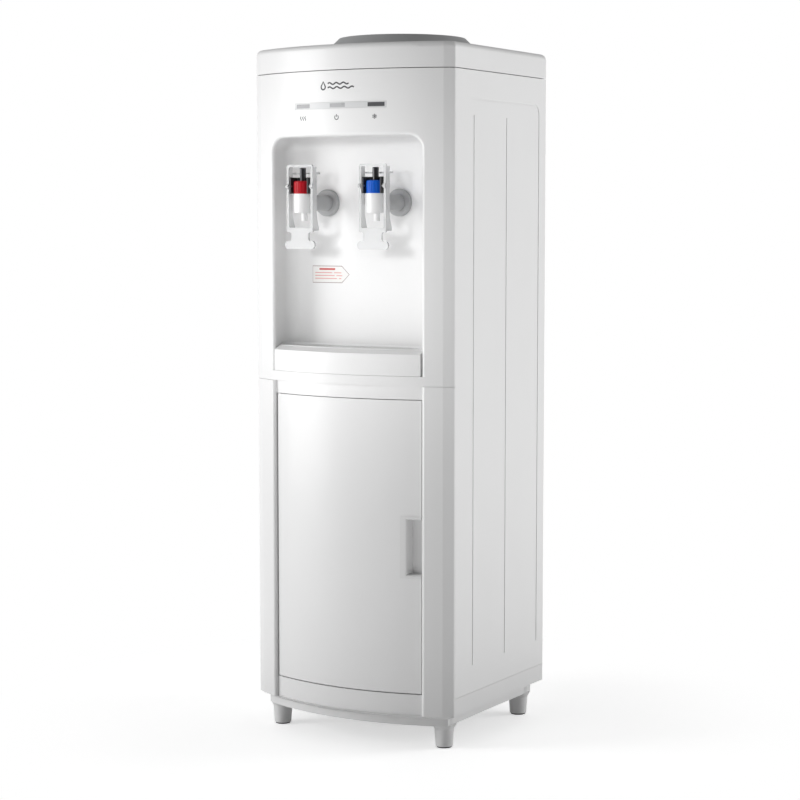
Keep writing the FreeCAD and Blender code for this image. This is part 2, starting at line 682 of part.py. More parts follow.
# ---------------------------------------------------------------- side and rear panels
def build_side_panel(side):
    """Sheet with pressed grooves and a lip at the rear for the screws."""
    tag = "left" if side < 0 else "right"
    outer, inner = "%d * body_width / 2" % side, "%d * (body_width / 2 - sheet_wall)" % side
    low_x, high_x = (outer, inner) if side < 0 else (inner, outer)
    low, high = "panel_z + gap", "cover_z - 0.5"
    panel = box(tag + "_sheet", (low_x, depth("joint_depth + gap"), low), (high_x, "rear_y", high))
    edge = "%d * 145" % side
    lip_low, lip_high = (inner, edge) if side < 0 else (edge, inner)
    lip = box(tag + "_lip", (lip_low, "rear_y - 2 * sheet_wall - 0.1", low),
              (lip_high, "rear_y - sheet_wall - 0.1", high))
    blank = fuse(tag + "_sheet_blank", panel, lip)
    grooves = new_body(tag + "_grooves", ("%d * (body_width / 2 - 0.8)" % side, "0", "0"))
    sketch = new_sketch(grooves, tag + "_groove_lines", "YZ_Plane")
    foot, rise = "110", "883"
    draw(sketch, [(depth("54"), "880"), (depth("238"), "880"), (depth("251"), "867"), (depth("251"), foot),
                  (depth("254"), foot), (depth("254"), "867"), (depth("238"), rise), (depth("54"), rise)],
         {1: ("13", -1), 5: ("16", 1)})
    for y in ("58.5", "152.5"):
        draw(sketch, [(depth(y), foot), (depth(y + " + 3"), foot), (depth(y + " + 3"), "860"),
                      (depth(y), "860")])
    pad(grooves, sketch, "2", reverse=side < 0)
    holes = [cylinder("lip_hole", "2", "20", ("%d * 151" % side, "rear_y - 10", z),
                      "Y") for z in SCREW_HEIGHTS]
    node(cut(tag + "_panel", blank, grooves, *holes), tag + "_side_panel")


def build_rear_panel():
    blank = box("rear_sheet", ("-body_width / 2 + sheet_wall + 0.1", "rear_y - sheet_wall",
                               "panel_z + gap"),
                ("body_width / 2 - sheet_wall - 0.1", "rear_y", "cover_z - 0.5"))
    openings = []
    for i in range(9):
        reach = math.sqrt(38 ** 2 - (8.4 * (i - 4)) ** 2)
        openings.append(box("fan_slot", ("-%.1f" % reach, "rear_y - 5",
                                         "cooler_z + 8.4 * %d - 2.2" % (i - 4)),
                            ("%.1f" % reach, "rear_y + 5", "cooler_z + 8.4 * %d + 2.2" % (i - 4))))
    for i in range(6):
        for side in (-1, 1):
            openings.append(box("air_slot", ("%d * 45 - 30" % side, "rear_y - 5", "200 + 12 * %d" % i),
                                ("%d * 45 + 30" % side, "rear_y + 5", "204 + 12 * %d" % i)))
    for side in (-1, 1):
        for z in SCREW_HEIGHTS:
            openings.append(cylinder("screw_hole", "2", "10", ("%d * 151" % side, "rear_y - 5", z), "Y"))
    openings.append(cylinder("drain_hole", "drain_radius + 0.5", "10",
                             ("boiler_x", "rear_y - 5", "drain_z"), "Y"))
    openings.append(cylinder("gland_hole", "6.2", "10", ("gland_x", "rear_y - 5", "gland_z"), "Y"))
    openings.append(box("switch_hole", ("switch_x - 22", "rear_y - 5", "switch_z - 11.5"),
                        ("switch_x + 22", "rear_y + 5", "switch_z + 11.5")))
    node(cut("rear_sheet_cut", blank, *openings), "rear_panel")
    screws = []
    for side in (-1, 1):
        for z in SCREW_HEIGHTS:
            at = ("%d * 151" % side, "rear_y", z)
            head = cylinder("screw_head", "4", "2.2", at, "Y")
            shank = cylinder("screw_shank", "1.9", "8.2", (at[0], "rear_y - 8", z), "Y")
            slot_across = box("screw_slot", ("%s - 2.6" % at[0], "rear_y + 1.2", "%s - 0.4" % z),
                              ("%s + 2.6" % at[0], "rear_y + 3", "%s + 0.4" % z))
            slot_up = box("screw_slot", ("%s - 0.4" % at[0], "rear_y + 1.2", "%s - 2.6" % z),
                          ("%s + 0.4" % at[0], "rear_y + 3", "%s + 2.6" % z))
            screws.append(cut("screw", fuse("screw_whole", head, shank), slot_across, slot_up))
    node(group("rear_screw_set", *screws), "rear_panel_screws")


SCREW_HEIGHTS = ("95", "300", "505", "710", "900")
build_side_panel(-1)
build_side_panel(1)
build_rear_panel()
node(box("deck_plate", ("-body_width / 2 + 5", depth("jamb_depth + 1"), "deck_z"),
         ("body_width / 2 - 5", "rear_y - 4", "deck_z + deck_height")), "mid_deck")


# ---------------------------------------------------------------- taps
def tap_at(side, dx, dy, z):
    """A point of one tap, measured from its upright axis."""
    return ("%d * tap_x + %s" % (side, dx), depth("tap_depth + %s" % dy), z)


def build_tap_body(side, tag):
    axis = tap_at(side, "0", "0", "tap_base_z")
    barrel = cylinder(tag + "_barrel", "tap_radius", "tap_top_z - tap_base_z", axis)
    bore = cylinder(tag + "_chamber", "9", "40", tap_at(side, "0", "0", "seat_z"))
    inlet = cylinder(tag + "_inlet", "5", "20", tap_at(side, "0", "0", "tap_z"), "Y")
    outlet = cylinder(tag + "_outlet", "3", "10", tap_at(side, "0", "3", "tap_base_z - 1"))
    node(cut(tag + "_barrel_bored", barrel, bore, inlet, outlet), tag + "_tap_body")
    return tube(tag + "_spout", "nozzle_radius", "3", "tap_base_z - nozzle_z",
                tap_at(side, "0", "3", "nozzle_z"))


def build_tap_shank(side, tag):
    start = tap_at(side, "0", "0", "tap_z")
    pipe = cylinder(tag + "_pipe", "shank_radius", "niche_depth - tap_depth - 3", start, "Y")
    flange = cylinder(tag + "_flange", "flange_radius", "6",
                      ("%d * tap_x" % side, depth("niche_depth - 6"), "tap_z"), "Y")
    tail = cylinder(tag + "_tail", "tail_radius", "tail_end - niche_depth + 1",
                    ("%d * tap_x" % side, depth("niche_depth - 1"), "tap_z"), "Y")
    barrel = cylinder(tag + "_saddle", "tap_radius", "60", tap_at(side, "0", "0", "tap_z - 30"))
    bore = cylinder(tag + "_shank_bore", "5", "100", start, "Y")
    raw = cut(tag + "_shank_raw", fuse(tag + "_shank_whole", pipe, flange, tail), barrel, bore)
    face = number(depth("niche_depth - 6"))

    def flange_edge(edge):
        round_edge = isinstance(edge.Curve, Part.Circle)
        ring = round_edge and abs(edge.Curve.Radius - number("flange_radius")) < 0.01
        return ring and abs(edge.CenterOfMass.y - face) < 0.01
    node(rounded(tag + "_shank", raw, "2.4", flange_edge), tag + "_tap_shank")


def build_tap_collar(side, tag):
    """The coloured bonnet, with shallow upright flutes for grip."""
    at = tap_at(side, "0", "0", "0")
    profile = [("9.5", "tap_top_z"), ("collar_radius", "tap_top_z"),
               ("collar_radius", "collar_top_z - 2.5"),
               ("collar_radius - 2.5", "collar_top_z"), ("stem_radius + 0.05", "collar_top_z"),
               ("stem_radius + 0.05", "767"), ("9.5", "767")]
    cap = turned(tag + "_bonnet_blank", profile, at, {2: ("2.5", 1)})
    flutes = []
    for i in range(18):
        angle = math.radians(20 * i)
        reach = number("collar_radius") + 0.55
        flutes.append(cylinder("flute", "1", "12.5", tap_at(side, "%.4f" % (reach * math.cos(angle)),
                                                          "%.4f" % (reach * math.sin(angle)), "757.5")))
    node(cut(tag + "_bonnet", cap, *flutes), tag + "_tap_collar")


def build_tap_yoke(side, tag):
    """The bracket that straddles the bonnet and carries the lever's two pins."""
    arms = []
    for low, high in (("(-15)", "(-12.9)"), ("12.9", "15")):
        arms.append(box("yoke_arm", tap_at(side, low, "(-10.5)", "755"), tap_at(side, high, "1", "777")))
        arms.append(box("yoke_rail", tap_at(side, low, "0", "collar_top_z + 0.1"),
                        tap_at(side, high, "9", "777")))
    bridge = box("yoke_bridge", tap_at(side, "(-15)", "4.9", "collar_top_z + 0.1"),
                 tap_at(side, "15", "9", "777"))
    pin_hole = cylinder("yoke_pin_hole", "pin_radius", "60",
                        ("%d * tap_x - 30" % side, depth("pivot_depth"), "pivot_z"), "X")
    return cut(tag + "_bracket", fuse(tag + "_bracket_whole", bridge, *arms), pin_hole)


def build_tap_valve(side, tag):
    head = cylinder(tag + "_stem_head", "stem_radius", "stem_top_z - 762", tap_at(side, "0", "0", "762"))
    rod = cylinder(tag + "_rod", "rod_radius", "26", tap_at(side, "0", "0", "737"))
    notch = box(tag + "_notch", tap_at(side, "(-2.2)", "(-1.8)", "780.2"),
                tap_at(side, "2.2", "6", "784.7"))
    raw = cut(tag + "_stem_raw", fuse(tag + "_stem_whole", head, rod), notch)
    tip = number("stem_top_z")

    def crown(edge):
        return isinstance(edge.Curve, Part.Circle) and abs(edge.CenterOfMass.z - tip) < 0.01
    node(rounded(tag + "_stem", raw, "0.8", crown), tag + "_tap_stem")
    plug = cylinder(tag + "_plug", "seal_radius", "seal_top_z - seat_z - gap",
                    tap_at(side, "0", "0", "seat_z + gap"))
    socket = cylinder(tag + "_plug_socket", "rod_radius", "10", tap_at(side, "0", "0", "737"))
    node(cut(tag + "_plug_bored", plug, socket), tag + "_tap_seal")
    coil = doc.addObject("Part::Helix", tag + "_coil")
    coil.Pitch = 4
    bind(coil, "Height", "766 - seal_top_z - 1")
    coil.Radius = 6.2
    place(coil, tap_at(side, "0", "0", "seal_top_z + 0.7"))
    wire = doc.addObject("Part::RegularPolygon", tag + "_wire")
    wire.Polygon = 8
    wire.Circumradius = 0.55
    wire.Placement.Rotation = FreeCAD.Rotation(V(1, 0, 0), 90)
    place(wire, tap_at(side, "6.2", "0", "seal_top_z + 0.7"))
    spring = doc.addObject("Part::Sweep", tag + "_spring_wire")
    spring.Sections = [wire]
    spring.Spine = (coil, [])
    spring.Solid = True
    spring.Frenet = True
    node(spring, tag + "_tap_spring")


def build_tap_lever(side, tag):
    """The push lever: a window frame round the tap, with a pad below it for the cup."""
    body = new_body(tag + "_lever_plate", ("%d * tap_x" % side, depth("pivot_depth + 3"), "0"))
    face = new_sketch(body, tag + "_lever_face", "XZ_Plane")
    right = [("lever_half", "shoulder_z + 2"), ("lever_half", "lever_top_z - 3"),
             ("lever_half - 3", "lever_top_z")]
    left = [("-(%s)" % x, z) for x, z in reversed(right)]
    low_left = [("-lever_half + 2", "shoulder_z"), ("-neck_half - 3", "shoulder_z"),
                ("-neck_half", "shoulder_z - 3"), ("-neck_half", "pad_top_z + 3"),
                ("-neck_half - 3", "pad_top_z"),
                ("-pad_half + 5.5", "pad_top_z"), ("-pad_half + 5.5", "pad_z")]
    low_right = [("-(%s)" % x, z) for x, z in reversed(low_left)]
    outline = right + left + low_left + low_right
    draw(face, outline, {1: ("3", 1), 3: ("3", 1), 5: ("2", 1), 7: ("3", -1), 9: ("3", -1), 11: ("5.6", 1),
                         13: ("5.6", 1), 15: ("3", -1), 17: ("3", -1), 19: ("2", 1)})
    inner = "lever_half - lever_bar"
    draw(face, [("-(%s)" % inner, "window_z + 2"), ("-(%s) + 2" % inner, "window_z"),
                ("%s - 2" % inner, "window_z"),
                (inner, "window_z + 2"), (inner, "lever_top_z - 5"), ("%s - 2" % inner, "lever_top_z - 3"),
                ("-(%s) + 2" % inner, "lever_top_z - 3"), ("-(%s)" % inner, "lever_top_z - 5")],
         {0: ("2", 1), 2: ("2", 1), 4: ("2", 1), 6: ("2", 1)})
    pad(body, face, "lever_plate")
    pieces = [body]
    for low, high in (("-lever_half", "-lever_half + lever_bar"), ("lever_half - lever_bar", "lever_half")):
        leg = new_body(tag + "_leg", ("%d * tap_x + %s" % (side, low), "0", "0"))
        web = new_sketch(leg, tag + "_leg_side", "YZ_Plane")
        front, back = depth("pivot_depth - 0.5"), depth("pivot_depth + 9.5")
        foot = depth("pivot_depth + 15")
        draw(web, [(front, "shoulder_z + 2"), (foot, "shoulder_z + 2"), (foot, "shoulder_z + 6"),
                   (back, "727"), (back, "lever_top_z - 3"), (front, "lever_top_z - 3")], {2: ("60", -1)})
        pad(leg, web, "lever_bar")
        boss_at = ("%d * tap_x + %s" % (side, low), depth("pivot_depth"), "pivot_z")
        boss = cylinder(tag + "_boss", "3.4", "lever_bar", boss_at, "X")
        pieces += [leg, boss]
    for low, high in (("(-lever_half + 1)", "(-lever_half + 3.2)"),
                      ("(lever_half - 3.2)", "(lever_half - 1)")):
        pieces.append(box("lever_arm", tap_at(side, low, "(pivot_depth - tap_depth + 3)", "bar_z"),
                          tap_at(side, high, "arm_end", "bar_z + 2.4")))
    pieces.append(box("lever_ledge", tap_at(side, "(-lever_half + 1)", "(pivot_depth - tap_depth - 0.5)",
                                            "shoulder_z + 2"),
                      tap_at(side, "(lever_half - 1)", "(pivot_depth - tap_depth + 13.5)", "window_z - 1")))
    pieces.append(box("lever_crossbar", tap_at(side, "(-lever_half + 1)", "(arm_end - 2.2)", "bar_z"),
                      tap_at(side, "(lever_half - 1)", "arm_end", "bar_z + 2")))
    pieces.append(box("lever_finger", tap_at(side, "(-1.8)", "3.4", "bar_z"),
                      tap_at(side, "1.8", "(arm_end - 1)", "bar_z + 2")))
    pin_hole = cylinder("lever_pin_hole", "pin_radius + 0.05", "60",
                        ("%d * tap_x - 30" % side, depth("pivot_depth"), "pivot_z"), "X")
    node(cut(tag + "_lever_whole", fuse(tag + "_lever_joined", *pieces), pin_hole), tag + "_tap_lever")


def build_tap_fixings():
    pins, nuts = [], []
    for side in (-1, 1):
        for low, high in (("(-lever_half)", "(-12.7)"), ("12.7", "lever_half")):
            pins.append(cylinder("lever_pin", "pin_radius", "%s - %s" % (high, low),
                                 ("%d * tap_x + %s" % (side, low), depth("pivot_depth"), "pivot_z"), "X"))
        nut = doc.addObject("Part::Prism", "back_nut")
        nut.Polygon = 6
        nut.Circumradius = 13
        nut.Height = 6
        nut.Placement.Rotation = TURNED["Y"]
        place(nut, ("%d * tap_x" % side, depth("niche_depth + wall"), "tap_z"))
        hole = cylinder("nut_hole", "tail_radius", "20",
                        ("%d * tap_x" % side, depth("niche_depth"), "tap_z"), "Y")
        nuts.append(cut("back_nut_bored", nut, hole))
    node(group("lever_pin_set", *pins), "lever_pins")
    node(group("back_nut_set", *nuts), "tap_back_nuts")


nozzles, yokes = [], []
for tap_side, tap_tag in ((-1, "hot"), (1, "cold")):
    nozzles.append(build_tap_body(tap_side, tap_tag))
    build_tap_shank(tap_side, tap_tag)
    build_tap_collar(tap_side, tap_tag)
    yokes.append(build_tap_yoke(tap_side, tap_tag))
    build_tap_valve(tap_side, tap_tag)
    build_tap_lever(tap_side, tap_tag)
node(group("nozzle_pair", *nozzles), "tap_nozzles")
node(group("yoke_pair", *yokes), "tap_yokes")
build_tap_fixings()


# ---------------------------------------------------------------- cold side
def build_cold_tank():
    at = ("0", depth("axis_depth"), "0")
    profile = [("0", "tank_z"), ("tank_radius", "tank_z"), ("tank_radius", "tank_top_z"),
               ("12", "tank_top_z"), ("12", "tank_top_z - 1.5"), ("tank_radius - 1.5", "tank_top_z - 1.5"),
               ("tank_radius - 1.5", "tank_z + 1.5"), ("0", "tank_z + 1.5")]
    shell = turned("tank_shell", profile, at)
    ports = [cylinder("tank_port", "4", "10", ("tap_x", depth("axis_depth"), "tank_z - 5")),
             cylinder("tank_feed", "4", "10", ("0", depth("boiler_depth"), "tank_z - 5"))]
    node(cut("tank_ported", shell, *ports), "cold_tank")

    blank = cylinder("foam_blank", "foam_radius", "tank_top_z - foam_z",
                     ("0", depth("axis_depth"), "foam_z"))
    core = cylinder("foam_core", "tank_radius", "tank_top_z - foam_z", ("0", depth("axis_depth"), "tank_z"))
    window = box("foam_window", ("-26", depth("axis_depth"), "cooler_z - 26"),
                 ("26", depth("250"), "cooler_z + 26"))
    pipes = [cylinder("foam_port", "6.5", "30", ("tap_x", depth("axis_depth"), "foam_z - 5")),
             cylinder("foam_feed", "6.5", "30", ("0", depth("boiler_depth"), "foam_z - 5"))]
    node(cut("foam_shell", blank, core, window, *pipes), "tank_foam")


def build_cooler():
    block = box("block_blank", ("-25", depth("200"), "cooler_z - 25"),
                ("25", depth("232"), "cooler_z + 25"))
    saddle = cylinder("block_saddle", "tank_radius", "100", ("0", depth("axis_depth"), "cooler_z - 50"))
    node(cut("cooling_block", block, saddle), "cold_block")
    node(box("peltier", ("-20", depth("232"), "cooler_z - 20"), ("20", depth("235.8"), "cooler_z + 20")),
         "cooling_module")
    plate = box("sink_plate", ("-45", depth("235.8"), "cooler_z - 45"),
                ("45", depth("240"), "cooler_z + 45"))
    fins = [box("sink_fin", ("-45 + 7.4 * %d" % i, depth("240"), "cooler_z - 45"),
                ("-43.6 + 7.4 * %d" % i, depth("251"), "cooler_z + 45")) for i in range(13)]
    node(fuse("sink", plate, *fins), "heat_sink")


def build_fan():
    """A square frame with a round duct, and a rotor on a short hub."""
    front, back = "251.6", "269"
    frame = box("fan_blank", ("-40", depth(front), "cooler_z - 40"), ("40", depth(back), "cooler_z + 40"))
    duct = cylinder("fan_duct", "38", "30", ("0", depth("245"), "cooler_z"), "Y")
    ring = cut("fan_ring", frame, duct)
    hub = cylinder("fan_motor", "13", "3", ("0", depth("251.6"), "cooler_z"), "Y")
    shaft = cylinder("fan_shaft", "1.5", "12", ("0", depth("254.6"), "cooler_z"), "Y")
    spokes = [box("fan_spoke", ("-39", depth(front), "cooler_z - 2"),
                  ("39", depth("253.6"), "cooler_z + 2")),
              box("fan_spoke", ("-2", depth(front), "cooler_z - 39"),
                  ("2", depth("253.6"), "cooler_z + 39"))]
    node(fuse("fan_frame_whole", ring, hub, shaft, *spokes), "fan_frame")

    core = cylinder("rotor_core", "14", "12.4", ("0", depth("255.6"), "cooler_z"), "Y")
    blades = []
    for i in range(7):
        blade = doc.addObject("Part::Box", "blade")
        blade.Length = 24
        blade.Width = 1.6
        blade.Height = 12
        turn = FreeCAD.Rotation(V(0, 1, 0), 360.0 / 7 * i)
        pitch = FreeCAD.Rotation(V(1, 0, 0), -52)
        start = turn.multVec(V(11, -5.6, -5.2))
        blade.Placement.Rotation = turn.multiply(pitch)
        place(blade, ("%.4f" % start.x, depth("(262 + %.4f)" % start.y), "cooler_z + %.4f" % start.z))
        blades.append(blade)
    bore = cylinder("rotor_bore", "1.55", "11.5", ("0", depth("255.6"), "cooler_z"), "Y")
    node(cut("rotor_bored", fuse("rotor_whole", core, *blades), bore), "fan_rotor")


build_cold_tank()
build_cooler()
build_fan()


# ---------------------------------------------------------------- hot side
def build_boiler():
    at = ("boiler_x", depth("boiler_depth"), "0")
    profile = [("0", "boiler_z"), ("boiler_radius", "boiler_z"), ("boiler_radius", "boiler_top_z"),
               ("0", "boiler_top_z"), ("0", "boiler_top_z - 1.5"),
               ("boiler_radius - 1.5", "boiler_top_z - 1.5"),
               ("boiler_radius - 1.5", "boiler_z + 1.5"), ("0", "boiler_z + 1.5")]
    shell = turned("boiler_shell", profile, at)
    top_port = cylinder("boiler_outlet", "4", "10", ("-tap_x", depth("175"), "boiler_top_z - 5"))
    feed = cylinder("boiler_feed", "4", "20", ("boiler_x + 35", depth("boiler_depth"), "545"), "X")
    drain = cylinder("boiler_drain", "4", "20", ("boiler_x", depth("boiler_depth + 35"), "drain_z"), "Y")
    node(cut("boiler_ported", shell, top_port, feed, drain), "hot_tank")
    node(tube("heater", "boiler_radius + 3", "boiler_radius", "34", (at[0], at[1], "565")), "heater_band")

    blank = cylinder("jacket_blank", "jacket_radius", "boiler_top_z - boiler_z + 10",
                     (at[0], at[1], "boiler_z - 5"))
    core = cylinder("jacket_core", "boiler_radius", "boiler_top_z - boiler_z", (at[0], at[1], "boiler_z"))
    band = cylinder("jacket_band", "boiler_radius + 3", "34", (at[0], at[1], "565"))
    holes = [cylinder("jacket_outlet", "6.3", "20", ("-tap_x", depth("175"), "boiler_top_z - 5")),
             cylinder("jacket_feed", "6.3", "30", ("boiler_x + 35", depth("boiler_depth"), "545"), "X"),
             cylinder("jacket_drain", "6.3", "30", ("boiler_x", depth("boiler_depth + 35"), "drain_z"),
                      "Y")]
    node(cut("jacket", blank, core, band, *holes), "hot_tank_jacket")
    node(tube("stand", "40", "36", "boiler_z - 5 - deck_z - deck_height",
              (at[0], at[1], "deck_z + deck_height")),
         "hot_tank_stand")


def pipe_along(name, points, bends):
    """A tube along straight runs joined by tangent arcs; made from its runs and radii."""
    path = [V(*[number(c) for c in p]) for p in points]
    edges = []
    start = path[0]
    for before, corner, after, radius in zip(path, path[1:], path[2:], bends):
        into = (before - corner).normalize()
        out = (after - corner).normalize()
        half = into.getAngle(out) / 2
        trim = radius / math.tan(half)
        first, last = corner + into * trim, corner + out * trim
        middle_way = (into + out).normalize()
        middle = corner + middle_way * (radius / math.sin(half) - radius)
        edges.append(Part.LineSegment(start, first).toShape())
        edges.append(Part.Arc(first, middle, last).toShape())
        start = last
    edges.append(Part.LineSegment(start, path[-1]).toShape())
    wire = Part.Wire(edges)
    shapes = []
    for radius in (6, 4):
        ring = Part.Wire(Part.Circle(path[0], path[1] - path[0], radius).toShape())
        shapes.append(wire.makePipeShell([ring], True, True))
    item = doc.addObject("Part::Feature", name)
    item.Shape = shapes[0].cut(shapes[1])
    return item


def build_pipes():
    tail = depth("tail_end")
    drop = depth("drop_depth")
    hot = pipe_along("hot_pipe", [("-tap_x", tail, "tap_z"), ("-tap_x", drop, "tap_z"),
                                  ("-tap_x", drop, "650"),
                                  ("-tap_x", depth("175"), "650"),
                                  ("-tap_x", depth("175"), "boiler_top_z")],
                     (6.8, 25, 14))
    cold = pipe_along("cold_pipe", [("tap_x", tail, "tap_z"), ("tap_x", drop, "tap_z"),
                                    ("tap_x", drop, "650"),
                                    ("tap_x", depth("axis_depth"), "650"),
                                    ("tap_x", depth("axis_depth"), "tank_z")],
                      (6.8, 25, 25))
    feed = pipe_along("feed_pipe", [("0", depth("boiler_depth"), "tank_z"),
                                    ("0", depth("boiler_depth"), "545"),
                                    ("boiler_x + boiler_radius", depth("boiler_depth"), "545")], (13,))
    drain = tube("drain_run", "drain_radius", "4", "rear_y + 11 - corner_y - boiler_depth - boiler_radius",
                 ("boiler_x", depth("boiler_depth + boiler_radius"), "drain_z"), "Y")
    node(group("pipe_set", hot, cold, feed, drain), "water_pipes")
    cap = cylinder("cap_outer", "11", "drain_end_y - rear_y - gap", ("boiler_x", "rear_y + gap", "drain_z"),
                   "Y")
    bore = cylinder("cap_bore", "drain_radius + 0.05", "rear_y + 11.3 - rear_y - gap",
                    ("boiler_x", "rear_y + gap", "drain_z"), "Y")
    grip = []
    for i in range(12):
        angle = math.radians(30 * i)
        grip.append(cylinder("cap_flute", "1.2", "16",
                             ("boiler_x + %.4f" % (11.5 * math.cos(angle)), "rear_y",
                                                       "drain_z + %.4f" % (11.5 * math.sin(angle))), "Y"))
    node(cut("cap", cap, bore, *grip), "drain_cap")


build_boiler()
build_pipes()


# ---------------------------------------------------------------- electrics and rear controls
def build_power_board():
    board = box("board", ("25", depth("150"), "deck_z + 9"), ("125", depth("220"), "deck_z + 10.6"))
    parts = [box("transformer", ("35", depth("160"), "deck_z + 10.6"), ("70", depth("195"), "deck_z + 40")),
             cylinder("capacitor", "8", "24", ("90", depth("170"), "deck_z + 10.6")),
             cylinder("capacitor", "8", "24", ("110", depth("170"), "deck_z + 10.6")),
             box("relay", ("82", depth("190"), "deck_z + 10.6"), ("100", depth("210"), "deck_z + 26"))]
    legs = [cylinder("standoff", "3", "6", (x, depth(y), "deck_z + deck_height"))
            for x in ("31", "119") for y in ("156", "214")]
    node(fuse("board_whole", board, *(parts + legs)), "power_board")


def build_switches():
    rim = box("switch_rim", ("switch_x - 25", "rear_y", "switch_z - 14.5"),
              ("switch_x + 25", "rear_y + 2", "switch_z + 14.5"))
    well = box("switch_well", ("switch_x - 21.8", "rear_y - 14", "switch_z - 11.3"),
               ("switch_x + 21.8", "rear_y + 1", "switch_z + 11.3"))
    spaces = []
    pins = []
    for k in (-1, 1):
        x = "switch_x + %d * switch_pitch / 2" % k
        spaces.append(box("rocker_space", ("%s - 7.2" % x, "rear_y - 12", "switch_z - 10.2"),
                          ("%s + 7.2" % x, "rear_y + 4", "switch_z + 10.2")))
        pins.append(cylinder("rocker_pin", "1", "15", ("%s - 7.5" % x, "rear_y - 2", "switch_z"), "X"))
    housing = cut("switch_housing", fuse("switch_solid", rim, well), *spaces)
    node(fuse("switch_unit", housing, *pins), "switch_plate")
    for k, label in ((-1, "heating_switch"), (1, "cooling_switch")):
        x = "switch_x + %d * switch_pitch / 2" % k
        body = new_body(label + "_rocker", ("%s - rocker_half" % x, "rear_y - 2", "switch_z"))
        body.Placement.Rotation = FreeCAD.Rotation(V(1, 0, 0), 7)
        sketch = new_sketch(body, label + "_side", "YZ_Plane")
        draw(sketch, [("-5", "-5"), ("1.6", "-rocker_tall"), ("5.6", "-rocker_tall"), ("4.2", "0"),
                      ("5.6", "rocker_tall"), ("1.6", "rocker_tall"), ("-5", "5")])
        pad(body, sketch, "2 * rocker_half")
        bore = cylinder(label + "_bore", "1.05", "30", ("%s - 15" % x, "rear_y - 2", "switch_z"), "X")
        node(cut(label + "_cut", body, bore), label)


def build_gland():
    flange = cylinder("gland_flange", "10", "3", ("gland_x", "rear_y", "gland_z"), "Y")
    barrel = cylinder("gland_barrel", "6", "18", ("gland_x", "rear_y - 10", "gland_z"), "Y")
    nut = tube("gland_nut", "9", "5.9", "4", ("gland_x", "rear_y - sheet_wall - 4", "gland_z"), "Y")
    bore = cylinder("gland_hole_through", "gland_bore", "30", ("gland_x", "rear_y - 15", "gland_z"), "Y")
    node(cut("gland", fuse("gland_whole", flange, barrel, nut), bore), "cable_gland")


build_power_board()
build_switches()
build_gland()


# ---------------------------------------------------------------- check and write
def check_model():
    doc.recompute()
    for item in doc.Objects:
        bad = [state for state in item.State if state in ("Invalid", "Error")]
        if bad:
            raise RuntimeError("%s (%s) is %s" % (item.Name, item.Label, bad))
    labels = [item.Label for item in nodes]
    assert len(set(labels)) == len(labels) <= 60
    for item in nodes:
        if item.Shape.isNull() or not item.Shape.isValid() or not item.Shape.Solids:
            raise RuntimeError("%s has no valid solid" % item.Label)


check_model()
os.makedirs("parts", exist_ok=True)
for item in nodes:
    item.Shape.exportStep("parts/%s.step" % item.Label)
    size = item.Shape.BoundBox
    print("%-22s %2d solids  x %7.1f %7.1f  y %7.1f %7.1f  z %7.1f %7.1f  %9.1f cm3" % (
        item.Label, len(item.Shape.Solids), size.XMin, size.XMax, size.YMin, size.YMax, size.ZMin,
        size.ZMax,
        item.Shape.Volume / 1000))
print(len(nodes), "nodes")
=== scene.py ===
"""Looks of the floor-standing water dispenser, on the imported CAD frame. Metres."""
import json
import math

import bmesh
import bpy
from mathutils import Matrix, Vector


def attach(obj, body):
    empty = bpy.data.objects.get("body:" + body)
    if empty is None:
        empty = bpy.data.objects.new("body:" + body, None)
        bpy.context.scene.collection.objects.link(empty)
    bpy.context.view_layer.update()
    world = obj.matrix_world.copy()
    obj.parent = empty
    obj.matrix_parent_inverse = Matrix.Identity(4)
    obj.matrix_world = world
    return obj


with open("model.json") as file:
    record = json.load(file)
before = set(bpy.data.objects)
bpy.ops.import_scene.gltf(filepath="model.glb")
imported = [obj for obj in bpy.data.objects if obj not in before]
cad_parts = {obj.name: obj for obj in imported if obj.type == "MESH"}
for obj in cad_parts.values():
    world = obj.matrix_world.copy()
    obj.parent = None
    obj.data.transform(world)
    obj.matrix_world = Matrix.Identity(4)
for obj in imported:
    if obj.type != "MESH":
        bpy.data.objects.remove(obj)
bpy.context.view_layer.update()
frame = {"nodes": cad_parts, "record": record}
nodes = frame["nodes"]
MM = 0.001


# ---------------------------------------------------------------- materials
def new_material(name):
    material = bpy.data.materials.new(name)
    material.use_nodes = True
    tree = material.node_tree
    shader = tree.nodes["Principled BSDF"]
    return material, tree, shader


def noise(tree, scale, detail=3.0, stretch=(1, 1, 1), seed=0.0):
    """A noise texture in object coordinates, so it stays with its piece. Scale is in waves per metre."""
    place = tree.nodes.new("ShaderNodeTexCoord")
    mapping = tree.nodes.new("ShaderNodeMapping")
    mapping.inputs["Scale"].default_value = stretch
    mapping.inputs["Location"].default_value = (seed, seed * 0.7, seed * 0.3)
    texture = tree.nodes.new("ShaderNodeTexNoise")
    texture.inputs["Scale"].default_value = scale
    texture.inputs["Detail"].default_value = detail
    tree.links.new(place.outputs["Object"], mapping.inputs["Vector"])
    tree.links.new(mapping.outputs["Vector"], texture.inputs["Vector"])
    return texture.outputs["Fac"]


def spread(tree, value, low, high):
    """Maps a noise value to low..high."""
    node = tree.nodes.new("ShaderNodeMapRange")
    node.inputs["From Min"].default_value = 0.3
    node.inputs["From Max"].default_value = 0.7
    node.inputs["To Min"].default_value = low
    node.inputs["To Max"].default_value = high
    tree.links.new(value, node.inputs["Value"])
    return node.outputs["Result"]


